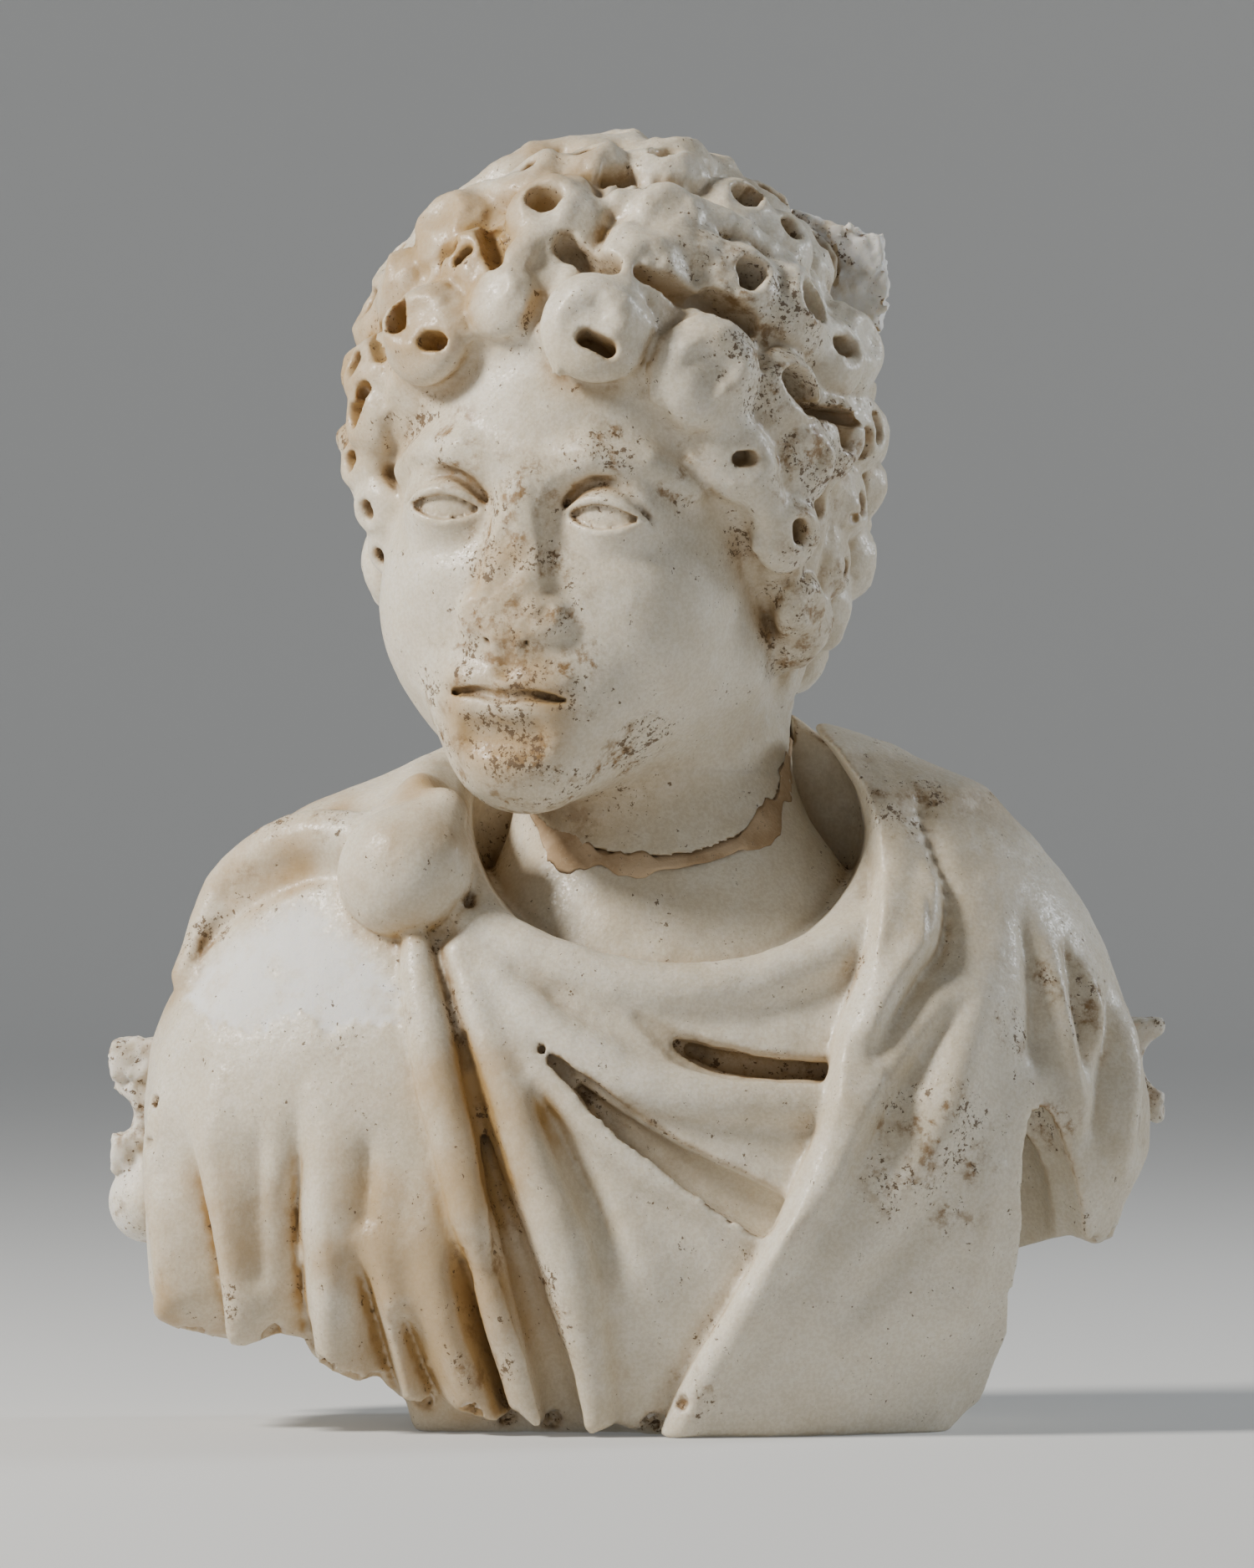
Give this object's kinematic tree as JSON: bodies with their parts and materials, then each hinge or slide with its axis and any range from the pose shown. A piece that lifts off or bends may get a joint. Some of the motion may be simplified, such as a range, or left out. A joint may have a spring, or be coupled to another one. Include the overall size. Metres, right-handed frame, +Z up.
{
  "type": "carved stone portrait bust",
  "caption": "Small carved marble bust of a curly-haired youth in a cloak pinned on one shoulder, the head rejoined at the neck.",
  "frame": {"origin": "on the flat underside, half way between the ends of the backing at the two shoulders", "axes": "+Z up, -Y out of the chest towards the viewer, +X towards the wearer's left shoulder"},
  "size_m": [0.2181, 0.1273, 0.266],
  "materials": {
    "aged_marble": "worn ivory marble with honey patina, soil in the drilled holes and fresh white breaks",
    "tan_filler": "matte tan mortar"
  },
  "bodies": {
    "root": {"draped_bust": "aged_marble", "head": "aged_marble", "neck_join_filler": "tan_filler"}
  },
  "joints": []
}
